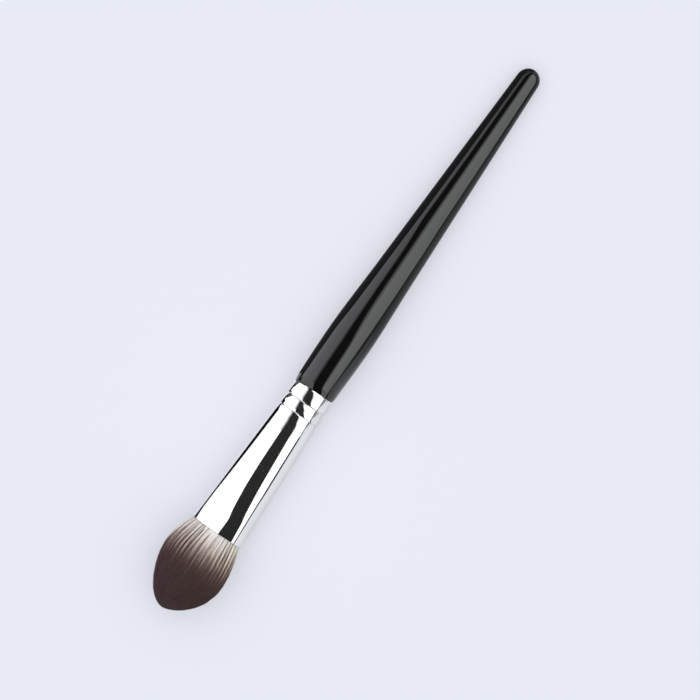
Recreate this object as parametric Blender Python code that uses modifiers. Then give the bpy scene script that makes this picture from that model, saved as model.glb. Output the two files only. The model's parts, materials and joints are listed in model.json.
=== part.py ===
"""Blush brush: a lacquered wooden handle, a crimped metal ferrule and a flame-shaped tuft.

Each piece is turned, wound or lofted about its own local Z axis. The seam between the handle
and the ferrule is at z = 0, the hair points up and the handle hangs below. An empty then lays
the whole brush on its side, the way it lies on a dressing table: on the belly of the hair and
the round end of the handle. Sizes are in metres.
"""

import math

import bmesh
import bpy
import numpy as np
from mathutils import Matrix, Vector

# Handle
HANDLE_LENGTH = 0.1071
SEAM_STEP = 0.0002
HANDLE_SWELL = 0.0004
BELLY_DEPTH = 0.0164
TAPER_DEPTH = 0.0392
HANDLE_END_RADIUS = 0.00334
HANDLE_END_ROUND = 0.0036
SHOULDER_ROUND = 0.0004
TENON_LENGTH = 0.0160
NOSE_LENGTH = 0.0040
NOSE_DRAW_IN = 0.0011

# Ferrule
FERRULE_LENGTH = 0.0471
FERRULE_WALL = 0.0004
BAND_RADIUS = 0.00628
NECK_RISE = 0.00017
MOUTH_RADIUS = 0.00815
CRIMP_HEIGHT = 0.0040
CRIMP_SPACING = 0.0036
CRIMP_WIDTH = 0.0018
CRIMP_DEPTH = 0.00028
BEAD_RISE = 0.00012
RIM_ROUND = 0.0001

# Tuft
HAIR_LENGTH = 0.02575
HAIR_BULGE = 0.0027
HAIR_BELLY_HEIGHT = 0.0105
HAIR_ROOT_DEPTH = 0.0078
STRAND_RINGS = 10
STRAND_WIDTH = 0.52
STRAND_STAGGER = 0.6
SHORTEST_BACK = 0.15
CORE_SHARE = 0.5
MIDDLE_STATION = 0.36
FLANK_STATION = 0.72
FLANK_FULLNESS = 0.8
TIP_FULLNESS = 0.6
FLANK_DRAW_IN = 0.5
SLICE_THICKNESS = 0.0015
SLICE_GRIP = 0.0004

# Pieces hidden in the ferrule
PLUG_LENGTH = 0.0070
THREAD_DIAMETER = 0.00045
THREAD_PITCH = 0.0009
THREAD_TURNS = 3
THREAD_SETBACK = 0.0016
GLUE_SKIRT = 0.0030
GLUE_CROWN = 0.0016
GLUE_DISH = 0.0008

# Fits and fineness
FIT_GAP = 0.0003
HAIR_GAP = 0.00025
MERGE = 0.00001
TURNED_STEPS = 40
HIDDEN_STEPS = 28
CRIMP_POINTS = 7
BEAD_POINTS = 4
SHOULDER_POINTS = 4
SWELL_POINTS = 7
TAPER_POINTS = 8
CONE_POINTS = 4
END_POINTS = 8
DISH_POINTS = 5
THREAD_STEPS = 14
RIM_STEPS = 2
RIM_ANGLE = math.radians(60)
STEEPEST_TILT = math.radians(30)
HALVINGS = 40

GOLDEN_ANGLE = math.pi * (3 - math.sqrt(5))

CRIMP_HEIGHTS = (CRIMP_HEIGHT, CRIMP_HEIGHT + CRIMP_SPACING)
SHOULDER_RADIUS = BAND_RADIUS - SEAM_STEP
BELLY_RADIUS = SHOULDER_RADIUS + HANDLE_SWELL
SLICE_FRONT = FERRULE_LENGTH - HAIR_ROOT_DEPTH
SLICE_BACK = SLICE_FRONT - SLICE_THICKNESS
PLUG_FRONT = SLICE_BACK - FIT_GAP
PLUG_BACK = PLUG_FRONT - PLUG_LENGTH


def clear_scene():
    """Removes every object, so that the brush is alone in the file."""
    for thing in list(bpy.data.objects):
        bpy.data.objects.remove(thing, do_unlink=True)


def collection(name):
    """Returns a new collection in the scene."""
    made = bpy.data.collections.new(name)
    bpy.context.scene.collection.children.link(made)
    return made


def material(name, colour, roughness, metallic=0.0):
    """Returns a Principled material."""
    made = bpy.data.materials.new(name)
    made.use_nodes = True
    shader = made.node_tree.nodes["Principled BSDF"]
    shader.inputs["Base Color"].default_value = (*colour, 1.0)
    shader.inputs["Roughness"].default_value = roughness
    shader.inputs["Metallic"].default_value = metallic
    made.diffuse_color = (*colour, 1.0)
    return made


# Outlines of the pieces, as a radius at a height


def crimp_dip(height):
    """How deep the two rolled crimps press the ferrule in at a height."""
    dip = 0.0
    for centre in CRIMP_HEIGHTS:
        away = abs(height - centre) / (CRIMP_WIDTH / 2)
        if away < 1:
            dip += CRIMP_DEPTH * (0.5 + 0.5 * math.cos(math.pi * away))
    return dip


def ferrule_radius(height):
    """Outer radius of the ferrule: plain band, crimp, bead, crimp, then a straight cone."""
    low, high = CRIMP_HEIGHTS
    neck_radius = BAND_RADIUS + NECK_RISE
    if height <= low:
        skin = BAND_RADIUS
    elif height <= high:
        share = (height - low) / (high - low)
        skin = BAND_RADIUS + NECK_RISE * share + BEAD_RISE * math.sin(math.pi * share)
    else:
        share = (height - high) / (FERRULE_LENGTH - high)
        skin = neck_radius + (MOUTH_RADIUS - neck_radius) * share
    return skin - crimp_dip(height)


def bore_radius(height):
    """Inner radius of the ferrule."""
    return ferrule_radius(height) - FERRULE_WALL


def crimp_stations():
    """Heights, from the top down, at which the crimps and the bead need a point."""
    low, high = CRIMP_HEIGHTS
    half = CRIMP_WIDTH / 2
    upper = np.linspace(high + half, high - half, CRIMP_POINTS)
    bead = np.linspace(high - half, low + half, BEAD_POINTS)[1:-1]
    lower = np.linspace(low + half, low - half, CRIMP_POINTS)
    return [float(height) for height in (*upper, *bead, *lower)]


def handle_radius(depth):
    """Radius of the handle at a depth below the seam."""
    end_depth = HANDLE_LENGTH - HANDLE_END_ROUND
    slope = (HANDLE_END_RADIUS - BELLY_RADIUS) / (end_depth - BELLY_DEPTH)
    if depth <= BELLY_DEPTH:
        return SHOULDER_RADIUS + HANDLE_SWELL * math.sin(math.pi / 2 * depth / BELLY_DEPTH)
    if depth < TAPER_DEPTH:
        span = TAPER_DEPTH - BELLY_DEPTH
        share = (depth - BELLY_DEPTH) / span
        start = BELLY_RADIUS * (2 * share**3 - 3 * share**2 + 1)
        end = (BELLY_RADIUS + slope * span) * (3 * share**2 - 2 * share**3)
        return start + end + slope * span * (share**3 - share**2)
    if depth <= end_depth:
        return BELLY_RADIUS + slope * (depth - BELLY_DEPTH)
    share = min((depth - end_depth) / HANDLE_END_ROUND, 1.0)
    return HANDLE_END_RADIUS * math.sqrt(1 - share**2)


def hair_root_radius():
    """Radius of the hair where it leaves the ferrule."""
    return bore_radius(FERRULE_LENGTH) - HAIR_GAP


def hair_outline(reach):
    """Radius of the tuft at a reach past the mouth: a swelling root and a flame-shaped tip."""
    root = hair_root_radius()
    if reach <= HAIR_BELLY_HEIGHT:
        return root + HAIR_BULGE * math.sin(math.pi / 2 * reach / HAIR_BELLY_HEIGHT)
    share = min((reach - HAIR_BELLY_HEIGHT) / (HAIR_LENGTH - HAIR_BELLY_HEIGHT), 1.0)
    return (root + HAIR_BULGE) * (1 - share**2) ** TIP_FULLNESS


def hair_spread(reach):
    """Radius that the whole bundle of strands spreads to at a reach past the mouth.

    Past the belly the bundle draws in more slowly than the outline, so that the outer strands
    end on the flank and only the inner ones reach the tip.
    """
    if reach < 0:
        return bore_radius(FERRULE_LENGTH + reach) - HAIR_GAP
    widest = hair_root_radius() + HAIR_BULGE
    outline = hair_outline(reach)
    if reach <= HAIR_BELLY_HEIGHT:
        return outline
    return widest * (outline / widest) ** (1 - FLANK_DRAW_IN)


# Ways of making a solid


def turned(name, profile, steps, look, parent, home):
    """Turns a profile of (radius, height) points, given from the top down, into a solid."""
    mesh = bpy.data.meshes.new(name)
    points = [(radius, 0.0, height) for radius, height in profile]
    edges = [(i, i + 1) for i in range(len(points) - 1)]
    mesh.from_pydata(points, edges, [])
    made = bpy.data.objects.new(name, mesh)
    home.objects.link(made)
    made.parent = parent
    screw = made.modifiers.new("turn", "SCREW")
    screw.axis = "Z"
    screw.angle = 2 * math.pi
    screw.steps = steps
    screw.render_steps = steps
    screw.use_merge_vertices = True
    screw.merge_threshold = MERGE
    screw.use_smooth_shade = True
    made.data.materials.append(look)
    return made


def make_handle(look, parent, home):
    """The turned handle: tenon with the wood pressed in under the crimps, shoulder and taper."""
    tenon_radius = bore_radius(0.0) - FIT_GAP
    profile = [
        (0.0, TENON_LENGTH),
        (tenon_radius - NOSE_DRAW_IN, TENON_LENGTH),
        (tenon_radius, TENON_LENGTH - NOSE_LENGTH),
    ]
    for height in crimp_stations():
        profile.append((min(tenon_radius, bore_radius(height) - FIT_GAP), height))
    profile.append((tenon_radius, -FIT_GAP))

    top = -FIT_GAP
    for turn in np.linspace(0, math.pi / 2, SHOULDER_POINTS):
        radius = SHOULDER_RADIUS - SHOULDER_ROUND * (1 - math.sin(turn))
        profile.append((radius, top - SHOULDER_ROUND * (1 - math.cos(turn))))

    first = FIT_GAP + SHOULDER_ROUND
    end_depth = HANDLE_LENGTH - HANDLE_END_ROUND
    depths = [
        *np.linspace(first, BELLY_DEPTH, SWELL_POINTS)[1:],
        *np.linspace(BELLY_DEPTH, TAPER_DEPTH, TAPER_POINTS)[1:],
        *np.linspace(TAPER_DEPTH, end_depth, CONE_POINTS)[1:],
    ]
    for turn in np.linspace(0, math.pi / 2, END_POINTS)[1:]:
        depths.append(end_depth + HANDLE_END_ROUND * math.sin(turn))
    for depth in depths:
        profile.append((handle_radius(float(depth)), -float(depth)))
    return turned("handle", profile, TURNED_STEPS, look, parent, home)


def make_ferrule(look, parent, home):
    """The ferrule: the turned outer skin, given its wall inwards, with rounded rims."""
    heights = [FERRULE_LENGTH, *crimp_stations(), 0.0]
    profile = [(ferrule_radius(height), height) for height in heights]
    made = turned("ferrule", profile, TURNED_STEPS, look, parent, home)
    wall = made.modifiers.new("wall", "SOLIDIFY")
    wall.thickness = FERRULE_WALL
    wall.offset = -1.0
    wall.use_even_offset = True
    rims = made.modifiers.new("rims", "BEVEL")
    rims.width = RIM_ROUND
    rims.segments = RIM_STEPS
    rims.limit_method = "ANGLE"
    rims.angle_limit = RIM_ANGLE
    return made


def strand_places():
    """Where the strands stand, as (share, end share, angle) in a bundle of radius 1.

    They stand in even rings, six more in each ring than in the last. The end share is where a
    strand's tip comes to lie, staggered so that the tips of one ring don't all end together.
    """
    places = []
    for ring in range(1, STRAND_RINGS + 1):
        for i in range(6 * ring):
            stagger = STRAND_STAGGER * (i * GOLDEN_ANGLE % 1.0)
            turn = 2 * math.pi * i / (6 * ring) + ring * GOLDEN_ANGLE
            end_share = (ring - SHORTEST_BACK - stagger) / STRAND_RINGS
            places.append((ring / STRAND_RINGS, end_share, turn))
    return places


def strand_end(share):
    """How far past the mouth a tip reaches: to where its share meets the tuft's outline."""
    inside, outside = HAIR_BELLY_HEIGHT, HAIR_LENGTH
    for _ in range(HALVINGS):
        middle = (inside + outside) / 2
        if share * hair_spread(middle) < hair_outline(middle):
            inside = middle
        else:
            outside = middle
    return inside


def strand_sections(share, end_share, turn):
    """The sections of one strand from root to tip, as (centre, reach of its corners).

    A strand in the core of the bundle hardly bends, so it has no middle section.
    """
    width = STRAND_WIDTH / STRAND_RINGS
    end = strand_end(end_share)
    stations = [(-HAIR_ROOT_DEPTH - SLICE_GRIP, 1.0), (0.0, 1.0)]
    if share > CORE_SHARE:
        stations.append((MIDDLE_STATION * end, 1.0))
    stations.append((FLANK_STATION * end, FLANK_FULLNESS))
    sections = []
    for reach, fullness in stations:
        spread = hair_spread(reach)
        out = share * (1 - width / 2) * spread
        centre = Vector((out * math.cos(turn), out * math.sin(turn), FERRULE_LENGTH + reach))
        sections.append((centre, width * spread * fullness))
    out = end_share * hair_spread(end)
    tip = Vector((out * math.cos(turn), out * math.sin(turn), FERRULE_LENGTH + end))
    sections.append((tip, 0.0))
    return sections


def make_strands(places, parent, home):
    """All strands as three-sided lofts, each with a flat side outwards and a pointed tip."""
    mesh = bmesh.new()
    for share, end_share, turn in places:
        last = None
        for centre, reach in strand_sections(share, end_share, turn):
            if reach == 0.0:
                tip = mesh.verts.new(centre)
                for i in range(3):
                    mesh.faces.new((last[i], last[(i + 1) % 3], tip))
                continue
            ring = []
            for corner in range(3):
                angle = turn + math.pi / 3 + corner * 2 * math.pi / 3
                side = Vector((math.cos(angle), math.sin(angle), 0.0))
                ring.append(mesh.verts.new(centre + reach * side))
            if last is None:
                mesh.faces.new(ring[::-1])
            else:
                for i in range(3):
                    j = (i + 1) % 3
                    mesh.faces.new((last[i], last[j], ring[j], ring[i]))
            last = ring
    data = bpy.data.meshes.new("strands")
    mesh.to_mesh(data)
    mesh.free()
    made = bpy.data.objects.new("strands", data)
    home.objects.link(made)
    made.parent = parent
    made.hide_render = True
    made.display_type = "WIRE"
    return made


def make_tuft(look, parent, home, tools):
    """The tuft: the front slice of the resin backing with every strand fused into it."""
    mesh = bmesh.new()
    bmesh.ops.create_cone(
        mesh,
        cap_ends=True,
        segments=HIDDEN_STEPS,
        radius1=bore_radius(SLICE_BACK) - FIT_GAP,
        radius2=bore_radius(SLICE_FRONT) - FIT_GAP,
        depth=SLICE_THICKNESS,
        matrix=Matrix.Translation((0.0, 0.0, (SLICE_FRONT + SLICE_BACK) / 2)),
    )
    data = bpy.data.meshes.new("tuft")
    mesh.to_mesh(data)
    mesh.free()
    data.materials.append(look)
    made = bpy.data.objects.new("tuft", data)
    home.objects.link(made)
    made.parent = parent
    places = strand_places()
    strands = make_strands(places, parent, tools)
    fuse = made.modifiers.new("fuse strands", "BOOLEAN")
    fuse.operation = "UNION"
    fuse.solver = "EXACT"
    fuse.object = strands
    print(f"tuft: {len(places)} strands in {STRAND_RINGS} rings")
    return made


def thread_radius():
    """Radius that the thread's centreline is wound at."""
    return bore_radius(PLUG_BACK + THREAD_SETBACK) - FIT_GAP - THREAD_DIAMETER / 2


def thread_path():
    """Points along the thread's centreline, wound in its groove round the resin plug."""
    radius = thread_radius()
    points = []
    for i in range(THREAD_STEPS * THREAD_TURNS + 1):
        turns = i / THREAD_STEPS
        turn = 2 * math.pi * turns
        height = PLUG_BACK + THREAD_SETBACK + THREAD_PITCH * turns
        points.append((radius * math.cos(turn), radius * math.sin(turn), height))
    return points


def make_thread(look, parent, home):
    """The thread that ties the root of the bundle, one unbroken winding."""
    points = thread_path()
    curve = bpy.data.curves.new("tuft_tie", "CURVE")
    curve.dimensions = "3D"
    curve.bevel_depth = THREAD_DIAMETER / 2
    curve.bevel_resolution = 0
    curve.use_fill_caps = True
    spline = curve.splines.new("POLY")
    spline.points.add(len(points) - 1)
    for point, place in zip(spline.points, points, strict=True):
        point.co = (*place, 1.0)
    made = bpy.data.objects.new("tuft_tie", curve)
    home.objects.link(made)
    made.parent = parent
    made.data.materials.append(look)
    print(f"tuft_tie: least gap between turns {(THREAD_PITCH - THREAD_DIAMETER) * 1000:.2f} mm")
    return made


def make_plug(look, parent, home):
    """The resin plug that holds the hair roots, with the groove that the tying thread lies in."""
    clear = THREAD_DIAMETER / 2 + FIT_GAP
    floor = thread_radius() - clear
    low = PLUG_BACK + THREAD_SETBACK - clear
    high = PLUG_BACK + THREAD_SETBACK + THREAD_PITCH * THREAD_TURNS + clear
    profile = [
        (0.0, PLUG_FRONT),
        (bore_radius(PLUG_FRONT) - FIT_GAP, PLUG_FRONT),
        (bore_radius(high) - FIT_GAP, high),
        (floor, high),
        (floor, low),
        (bore_radius(low) - FIT_GAP, low),
        (bore_radius(PLUG_BACK) - FIT_GAP, PLUG_BACK),
        (0.0, PLUG_BACK),
    ]
    return turned("glue_plug", profile, HIDDEN_STEPS, look, parent, home)


def make_handle_glue(look, parent, home):
    """The adhesive that the tenon pushed ahead of it: a cap over its nose, dished in front."""
    tenon_radius = bore_radius(0.0) - FIT_GAP
    nose_radius = tenon_radius - NOSE_DRAW_IN + FIT_GAP
    front = TENON_LENGTH + FIT_GAP + GLUE_CROWN
    inside = TENON_LENGTH + FIT_GAP
    back = TENON_LENGTH + FIT_GAP - GLUE_SKIRT
    nose_slope = NOSE_DRAW_IN / NOSE_LENGTH
    rim = bore_radius(front) - FIT_GAP
    profile = []
    for share in np.linspace(0, 1, DISH_POINTS):
        profile.append((rim * float(share), front - GLUE_DISH * (1 - float(share) ** 2)))
    profile.append((bore_radius(back) - FIT_GAP, back))
    profile.append((nose_radius + nose_slope * (inside - back), back))
    profile.append((nose_radius, inside))
    profile.append((0.0, inside))
    return turned("handle_glue", profile, HIDDEN_STEPS, look, parent, home)


# Laying the brush down


def lowest(outline, tilt):
    """Height of the lowest point of a turned outline once the hair end is raised by tilt."""
    return min(height * math.sin(tilt) - radius * math.cos(tilt) for height, radius in outline)


def lying_tilt():
    """The tilt at which the belly of the hair and the round end of the handle both touch."""
    reaches = np.linspace(0, HAIR_LENGTH, 200)
    hair = [(FERRULE_LENGTH + float(reach), hair_outline(float(reach))) for reach in reaches]
    depths = np.linspace(BELLY_DEPTH, HANDLE_LENGTH, 400)
    handle = [(-float(depth), handle_radius(float(depth))) for depth in depths]
    flat, steep = 0.0, STEEPEST_TILT
    for _ in range(HALVINGS):
        middle = (flat + steep) / 2
        if lowest(hair, middle) < lowest(handle, middle):
            flat = middle
        else:
            steep = middle
    return flat


def set_down(axis, pieces):
    """Moves the brush so that its box stands on z = 0 with its middle over the origin."""
    bpy.context.view_layer.update()
    depsgraph = bpy.context.evaluated_depsgraph_get()
    corners = []
    for piece in pieces:
        evaluated = piece.evaluated_get(depsgraph)
        mesh = evaluated.to_mesh()
        corners.extend(evaluated.matrix_world @ vertex.co for vertex in mesh.vertices)
        evaluated.to_mesh_clear()
    places = np.array(corners)
    low, high = places.min(axis=0), places.max(axis=0)
    middle = (low + high) / 2
    axis.location -= Vector((middle[0], middle[1], low[2]))
    size = (high - low) * 1000
    print(f"box {size[0]:.2f} x {size[1]:.2f} x {size[2]:.2f} mm")


def main():
    clear_scene()
    home = collection("blush_brush")
    tools = collection("cutters")

    lacquer = material("black_lacquer", (0.012, 0.012, 0.014), 0.08)
    plating = material("bright_plating", (0.86, 0.87, 0.88), 0.08, metallic=1.0)
    fibre = material("two_tone_fibre", (0.16, 0.11, 0.105), 0.6)
    resin = material("amber_resin", (0.55, 0.40, 0.22), 0.35)
    thread = material("waxed_thread", (0.72, 0.68, 0.60), 0.8)
    adhesive = material("clear_adhesive", (0.80, 0.76, 0.66), 0.3)

    axis = bpy.data.objects.new("brush_axis", None)
    home.objects.link(axis)

    pieces = [
        make_handle(lacquer, axis, home),
        make_ferrule(plating, axis, home),
        make_tuft(fibre, axis, home, tools),
        make_plug(resin, axis, home),
        make_thread(thread, axis, home),
        make_handle_glue(adhesive, axis, home),
    ]
    tilt = lying_tilt()
    axis.rotation_euler = (0.0, math.pi / 2 - tilt, 0.0)
    set_down(axis, pieces)
    print(f"lies with its hair end raised by {math.degrees(tilt):.2f} degrees")


main()
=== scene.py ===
# %% [markdown]
# # Dressing a blush brush
# The CAD model of this brush is packed as a fixed frame: a black lacquered wooden handle, a
# bright plated ferrule with two rolled crimps, and a flame-shaped tuft of two-tone fibre. It
# lies on its side, on the belly of the hair and the round end of the handle. This script gives
# it its looks, one piece at a time, and photographs it on a pale table, from above and square to
# its own axis. Everything is in metres, in the frame of the CAD model.

# %% Load the frame
import json
import math

import bmesh
import bpy
import numpy as np
from mathutils import Matrix, Vector

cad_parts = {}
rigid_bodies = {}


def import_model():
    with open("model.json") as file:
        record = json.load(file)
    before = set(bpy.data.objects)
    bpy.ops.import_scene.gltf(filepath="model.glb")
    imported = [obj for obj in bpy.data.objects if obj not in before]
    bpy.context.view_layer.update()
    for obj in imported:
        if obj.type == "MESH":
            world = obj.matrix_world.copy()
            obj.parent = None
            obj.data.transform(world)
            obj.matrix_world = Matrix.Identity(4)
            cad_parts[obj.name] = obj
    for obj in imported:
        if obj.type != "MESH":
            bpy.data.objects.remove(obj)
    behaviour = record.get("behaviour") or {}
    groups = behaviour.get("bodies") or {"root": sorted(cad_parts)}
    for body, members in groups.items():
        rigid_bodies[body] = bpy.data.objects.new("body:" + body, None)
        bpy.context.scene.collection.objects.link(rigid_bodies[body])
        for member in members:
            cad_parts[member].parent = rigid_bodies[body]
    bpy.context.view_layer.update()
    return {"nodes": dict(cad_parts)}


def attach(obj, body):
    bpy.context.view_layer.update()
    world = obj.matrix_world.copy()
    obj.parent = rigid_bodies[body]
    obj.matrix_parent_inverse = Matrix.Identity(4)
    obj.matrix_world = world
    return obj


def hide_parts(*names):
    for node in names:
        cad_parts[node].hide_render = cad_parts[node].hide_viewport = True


for thing in list(bpy.data.objects):
    bpy.data.objects.remove(thing, do_unlink=True)

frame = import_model()
print("nodes:", ", ".join(sorted(frame["nodes"])))

# %% [markdown]
# ## Find the brush in the frame
# Every piece of a brush is turned about one line, but here that line lies down and climbs a
# little towards the hair. Instead of copying its angle, the script reads it from the model: the
# points of a turned piece stand in even rings, so their mean lies on the axis, and two such
# means give its direction. New pieces can then be modelled upright about Z, with the seam
# between handle and ferrule at height zero, and be laid down by one matrix at the end.

# %% Measure the axis


def node_points(name):
    """Every separate point of a CAD node, as rows of x, y, z."""
    points = np.array([corner.co for corner in frame["nodes"][name].data.vertices])
    return np.unique(points.round(7), axis=0)


def reach_along(name):
    """Lowest and highest place of a CAD node along the axis, from the seam."""
    places = (node_points(name) - np.array(seam)) @ np.array(axis)
    return places.min(), places.max()


ferrule_middle = Vector(node_points("ferrule").mean(axis=0))
handle_middle = Vector(node_points("handle").mean(axis=0))
axis = (ferrule_middle - handle_middle).normalized()
# Reaches count from the seam, so it starts at the ferrule's middle and moves to its lower end.
seam = ferrule_middle.copy()
seam += axis * reach_along("ferrule")[0]
tilt = math.atan2(axis.z, axis.x)
LAY = Matrix.Translation(seam) @ Matrix.Rotation(math.pi / 2 - tilt, 4, "Y")

FERRULE_LENGTH = float(reach_along("ferrule")[1])
HANDLE_LENGTH = float(-reach_along("handle")[0])
HAIR_LENGTH = float(reach_along("tuft")[1]) - FERRULE_LENGTH
HAIR_ROOT = float(reach_along("tuft")[0]) - FERRULE_LENGTH
print(f"axis climbs {math.degrees(tilt):.2f} degrees from the seam at {seam * 1000} mm")
print(f"handle {HANDLE_LENGTH * 1000:.1f} mm, ferrule {FERRULE_LENGTH * 1000:.1f} mm")
print(f"hair {HAIR_LENGTH * 1000:.1f} mm past the mouth")

# %% [markdown]
# ## Outlines
# Turned work is drawn as a radius at a height. The shapes keep to the sizes of the CAD model, so
# that each new piece stays on its node, and add the finer forms that only a photograph shows.
# Between its crimps the ferrule isn't straight: the wheels that press the crimps leave the band
# and the bead beside them gently arched. So each of the two is given by its crest, a height with
# the radius there, and by the curve of its arch. The cone is straight above its foot, where it
# curves in, and every section is rounded off where it rises from a crimp.

# %% Sizes of the turned shapes
BAND_CREST = (0.0035, 0.00640)
BEAD_CREST = (0.0071, 0.00645)
CONE_FOOT = (0.0106, 0.00660)
BAND_CURVE = 0.019
BEAD_CURVE = 0.0098
CONE_CURVE = 0.021
MOUTH_RADIUS = 0.00815
CRIMPS = (0.0040, 0.0076)
EDGE_ROUND = 0.0004
CRIMP_WALL = 0.00008

SHOULDER_RADIUS = 0.00613
SHOULDER_ROUND = 0.00012
SHOULDER_LENGTH = 0.0020
SHOULDER_DROP = 0.00012
BELLY_RADIUS = 0.00650
BELLY_DEPTH = 0.0164
TAPER_DEPTH = 0.0392
END_RADIUS = 0.00334
END_ROUND = 0.0036

print(f"crimps {CRIMPS[0] * 1000:.1f} and {CRIMPS[1] * 1000:.1f} mm from the seam")

# %% [markdown]
# ## Radius at a height
# Each outline is a function, so that the lathe can ask for as many points as a bend needs. The
# handle's taper joins the belly to the straight part with a curve that leaves both without a
# kink, since gloss shows a kink as a broken reflection.

# %% Outlines of the ferrule and the handle


def arch(height, crest, curve):
    """Radius of a gently arched section of the ferrule, by the radius of its arch."""
    return crest[1] - (height - crest[0]) ** 2 / (2 * curve)


def edge_drop(distance):
    """How far the rounded foot of a section has dropped at a distance from the crimp."""
    return max(0.0, EDGE_ROUND - distance) ** 2 / (2 * EDGE_ROUND)


def ferrule_radius(height):
    """Outside of the ferrule: arched band, crimp, arched bead, crimp, and cone."""
    low, high = CRIMPS
    if height < low:
        return arch(height, BAND_CREST, BAND_CURVE) - edge_drop(height)
    if height < high:
        return arch(height, BEAD_CREST, BEAD_CURVE) - edge_drop(height - low)
    foot, foot_radius = CONE_FOOT
    slope = (MOUTH_RADIUS - foot_radius) / (FERRULE_LENGTH - foot)
    radius = foot_radius + slope * (height - foot)
    if height < foot:
        radius -= (foot - height) ** 2 / (2 * CONE_CURVE)
    return radius - edge_drop(height - high)


def handle_radius(depth):
    """Outside of the handle at a depth below the seam: swell, belly, long taper, round end."""
    end_depth = HANDLE_LENGTH - END_ROUND
    slope = (END_RADIUS - BELLY_RADIUS) / (end_depth - BELLY_DEPTH)
    if depth <= BELLY_DEPTH:
        swell = math.sin(math.pi / 2 * depth / BELLY_DEPTH)
        radius = SHOULDER_RADIUS + (BELLY_RADIUS - SHOULDER_RADIUS) * swell
        return radius - SHOULDER_DROP * max(0.0, 1 - depth / SHOULDER_LENGTH) ** 2
    if depth < TAPER_DEPTH:
        span = TAPER_DEPTH - BELLY_DEPTH
        share = (depth - BELLY_DEPTH) / span
        start = BELLY_RADIUS * (2 * share**3 - 3 * share**2 + 1)
        end = (BELLY_RADIUS + slope * span) * (3 * share**2 - 2 * share**3)
        return start + end + slope * span * (share**3 - share**2)
    if depth <= end_depth:
        return BELLY_RADIUS + slope * (depth - BELLY_DEPTH)
    share = min((depth - end_depth) / END_ROUND, 1.0)
    return END_RADIUS * math.sqrt(1 - share**2)


print(f"belly of the handle {2 * handle_radius(BELLY_DEPTH) * 1000:.2f} mm across")

# %% [markdown]
# ## The camera
# The brush is seen from above, square to its own axis, with a lens close enough that the mouth
# of the ferrule bows a little. So the camera hangs a metre over it and leans with it by its
# small climb. The camera's right and up directions are worked out from the slant of the brush
# in the picture. The field of view follows from the size of one pixel and the distance, because
# the scale of the picture is what ties it to real millimetres.

# %% Hang the camera
PICTURE = 700
PIXEL = 0.0002754
CAMERA_DISTANCE = 1.0
SLANT = math.radians(55.41)
MIDDLE_BELOW_SEAM = 0.01483
MIDDLE_BESIDE_AXIS = 0.0018
NEAREST_SEEN = 0.01

side = Vector((0.0, 1.0, 0.0))
middle = seam - axis * MIDDLE_BELOW_SEAM + side * MIDDLE_BESIDE_AXIS
right = side * math.sin(SLANT) - axis * math.cos(SLANT)
up = -axis * math.sin(SLANT) - side * math.cos(SLANT)
back = right.cross(up)

camera = bpy.data.objects.new("camera", bpy.data.cameras.new("camera"))
camera.matrix_world = Matrix.Translation(middle + back * CAMERA_DISTANCE) @ (
    Matrix((right, up, back)).transposed().to_4x4()
)
camera.data.angle = 2 * math.atan(PICTURE * PIXEL / 2 / CAMERA_DISTANCE)
camera.data.clip_start = NEAREST_SEEN
bpy.context.scene.collection.objects.link(camera)
bpy.context.scene.camera = camera
bpy.context.scene.view_settings.view_transform = "Standard"
print(f"camera sees {math.degrees(camera.data.angle):.1f} degrees from {camera.location}")

# %% [markdown]
# ## A kit for materials
# Each finish is a Principled shader with a little procedural detail in it. The patterns are
# laid out in the brush's own coordinates, with Z along the brush: a Mapping node of the
# Texture type undoes the laying down that the mesh has had, so a pattern drawn along Z runs
# along the brush, whichever way it lies.

# %% Start a material


def finish(name, roughness, metallic=0.0):
    """A new Principled material, with its node tree and shader."""
    look = bpy.data.materials.new(name)
    look.use_nodes = True
    shader = look.node_tree.nodes["Principled BSDF"]
    shader.inputs["Roughness"].default_value = roughness
    shader.inputs["Metallic"].default_value = metallic
    return look, look.node_tree, shader


def brush_space(tree, stretch=(1.0, 1.0, 1.0)):
    """Object coordinates turned upright about the seam, and stretched for long patterns."""
    place = tree.nodes.new("ShaderNodeTexCoord")
    upright = tree.nodes.new("ShaderNodeMapping")
    upright.vector_type = "TEXTURE"
    upright.inputs["Location"].default_value = seam
    upright.inputs["Rotation"].default_value = LAY.to_euler()
    tree.links.new(place.outputs["Object"], upright.inputs["Vector"])
    scaled = tree.nodes.new("ShaderNodeVectorMath")
    scaled.operation = "MULTIPLY"
    scaled.inputs[1].default_value = stretch
    tree.links.new(upright.outputs["Vector"], scaled.inputs[0])
    return scaled.outputs["Vector"]


print("materials can be laid out along the brush")

# %% [markdown]
# ## Patterns
# A pattern is a chain of small nodes: noise gives a value, and a range or a colour ramp turns it
# into a roughness or a tone. One helper for each link keeps the recipes further down short.

# %% Links of a pattern


def noise(tree, vector, scale, detail=2.0):
    """A noise pattern; the scale is in lumps to the metre."""
    pattern = tree.nodes.new("ShaderNodeTexNoise")
    pattern.inputs["Scale"].default_value = scale
    pattern.inputs["Detail"].default_value = detail
    tree.links.new(vector, pattern.inputs["Vector"])
    return pattern.outputs["Fac"]


def spread(tree, value, low, high, start=0.3, end=0.7):
    """Maps a value from start..end to low..high, as for a roughness that varies."""
    mapped = tree.nodes.new("ShaderNodeMapRange")
    mapped.inputs["From Min"].default_value = start
    mapped.inputs["From Max"].default_value = end
    mapped.inputs["To Min"].default_value = low
    mapped.inputs["To Max"].default_value = high
    tree.links.new(value, mapped.inputs["Value"])
    return mapped.outputs["Result"]


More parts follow.
